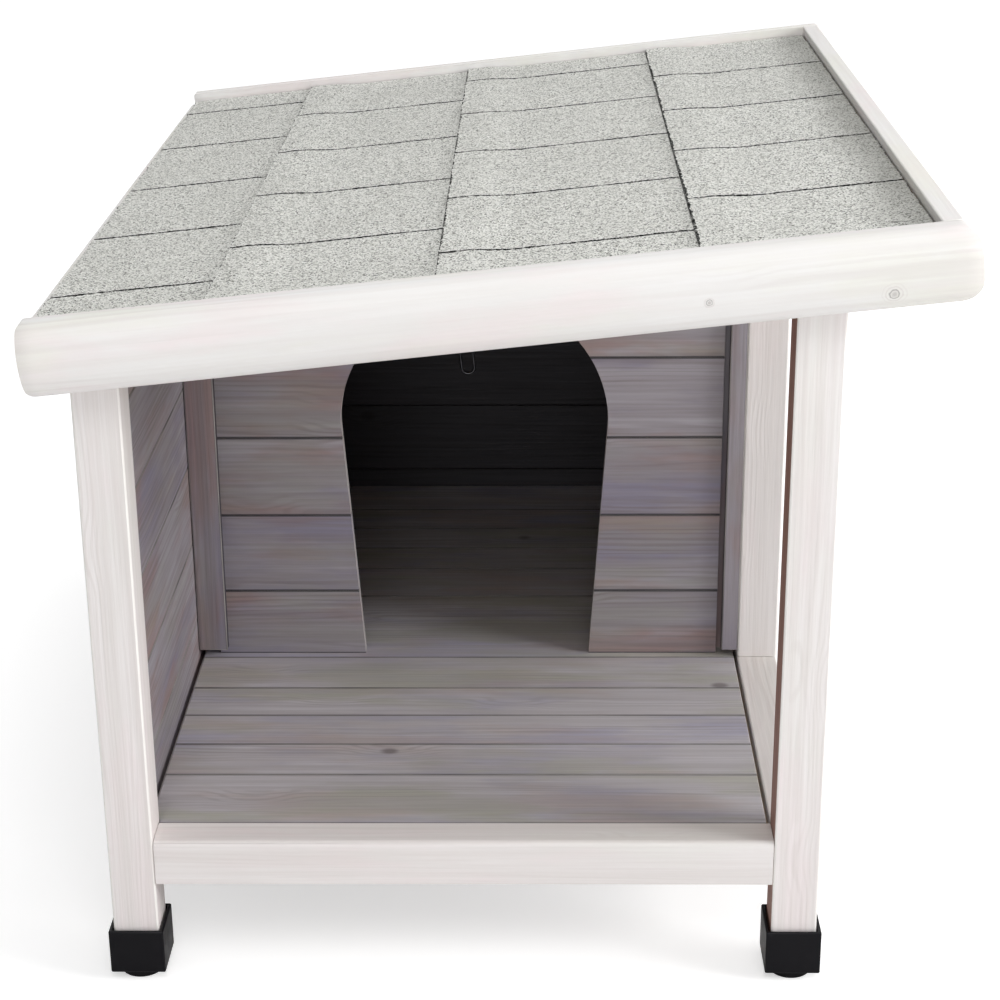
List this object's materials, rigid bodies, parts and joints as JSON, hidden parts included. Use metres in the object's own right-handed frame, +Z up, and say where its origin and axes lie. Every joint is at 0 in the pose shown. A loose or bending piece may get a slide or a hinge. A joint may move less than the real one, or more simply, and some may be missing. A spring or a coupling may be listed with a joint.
{
  "type": "dog house",
  "caption": "Raised wooden dog house with a covered porch, arched doorway, planked cabin, hinged sloping shingle roof and screw-adjustable feet.",
  "frame": {"origin": "on the ground, below the middle of the whole house's outline", "axes": "+X to the right seen from the porch, towards the high side of the roof; +Y from the porch to the rear wall; +Z up"},
  "size_m": [0.7178, 0.97, 0.6596],
  "materials": {
    "whitewashed_wood": "pale whitewash on pine, satin, grain showing through",
    "grey_wood": "grey stain on pine boards, matt, fine grain",
    "bare_wood": "unfinished pine, matt",
    "shingle": "pale greenish grey mineral granules on bitumen felt, rough",
    "zinc_steel": "zinc-plated, satin",
    "black_plastic": "moulded black plastic, slightly glossy",
    "black_rubber": "black plastic pad, matt"
  },
  "bodies": {
    "house": {"post_front_left": "whitewashed_wood", "post_front_right": "whitewashed_wood", "post_rear_left": "whitewashed_wood", "post_rear_right": "whitewashed_wood", "post_middle_right": "whitewashed_wood", "rail_front_bottom": "whitewashed_wood", "rail_right_bottom": "whitewashed_wood", "rail_left_bottom": "whitewashed_wood", "rail_rear_bottom": "whitewashed_wood", "rail_left_top": "whitewashed_wood", "rail_right_top": "whitewashed_wood", "floor_ledger_front": "bare_wood", "floor_ledger_right": "bare_wood", "floor_bearer": "bare_wood", "porch_board_1": "grey_wood", "porch_board_2": "grey_wood", "porch_board_3": "grey_wood", "porch_board_4": "grey_wood", "porch_board_5": "grey_wood", "cabin_board_1": "grey_wood", "cabin_board_2": "grey_wood", "cabin_board_3": "grey_wood", "cabin_board_4": "grey_wood", "cabin_board_5": "grey_wood", "cabin_board_6": "grey_wood", "wall_left": "grey_wood", "wall_right": "grey_wood", "wall_rear": "grey_wood", "partition": "grey_wood", "partition_stile_left": "grey_wood", "partition_stile_right": "grey_wood", "partition_batten_left": "grey_wood", "partition_batten_right": "grey_wood", "hinge_front_fixed_leaf": "zinc_steel", "hinge_front_pin": "zinc_steel", "hinge_rear_fixed_leaf": "zinc_steel", "hinge_rear_pin": "zinc_steel", "foot_cap_front_left": "black_plastic", "foot_cap_front_right": "black_plastic", "foot_cap_rear_left": "black_plastic", "foot_cap_rear_right": "black_plastic"},
    "roof": {"roof_deck": "bare_wood", "roof_trim_low": "whitewashed_wood", "roof_trim_high": "whitewashed_wood", "roof_batten_front": "bare_wood", "roof_batten_rear": "bare_wood", "fascia_front": "whitewashed_wood", "fascia_rear": "whitewashed_wood", "shingle_course_1": "shingle", "shingle_course_2": "shingle", "shingle_course_3": "shingle", "shingle_course_4": "shingle", "hinge_front_moving_leaf": "zinc_steel", "hinge_rear_moving_leaf": "zinc_steel", "prop_bracket": "zinc_steel"},
    "prop": {"roof_prop": "zinc_steel"},
    "foot_front_left": {"foot_pad_front_left": "black_rubber"},
    "foot_front_right": {"foot_pad_front_right": "black_rubber"},
    "foot_rear_left": {"foot_pad_rear_left": "black_rubber"},
    "foot_rear_right": {"foot_pad_rear_right": "black_rubber"}
  },
  "joints": [
    {"name": "roof_hinge", "type": "hinge", "parent": "house", "child": "roof", "pos_m": [-0.33102, 0, 0.53735], "axis": [0, -1, 0], "range_deg": [0, 70]},
    {"name": "prop_swing", "type": "hinge", "parent": "roof", "child": "prop", "pos_m": [-0.06126, 0.156, 0.56824], "axis": [0.9945, 0, 0.1045], "range_deg": [-60, 60]},
    {"name": "foot_front_left_screw", "type": "slide", "parent": "house", "child": "foot_front_left", "axis": [0, 0, -1], "range_m": [0, 0.012]},
    {"name": "foot_front_right_screw", "type": "slide", "parent": "house", "child": "foot_front_right", "axis": [0, 0, -1], "range_m": [0, 0.012]},
    {"name": "foot_rear_left_screw", "type": "slide", "parent": "house", "child": "foot_rear_left", "axis": [0, 0, -1], "range_m": [0, 0.012]},
    {"name": "foot_rear_right_screw", "type": "slide", "parent": "house", "child": "foot_rear_right", "axis": [0, 0, -1], "range_m": [0, 0.012]}
  ]
}
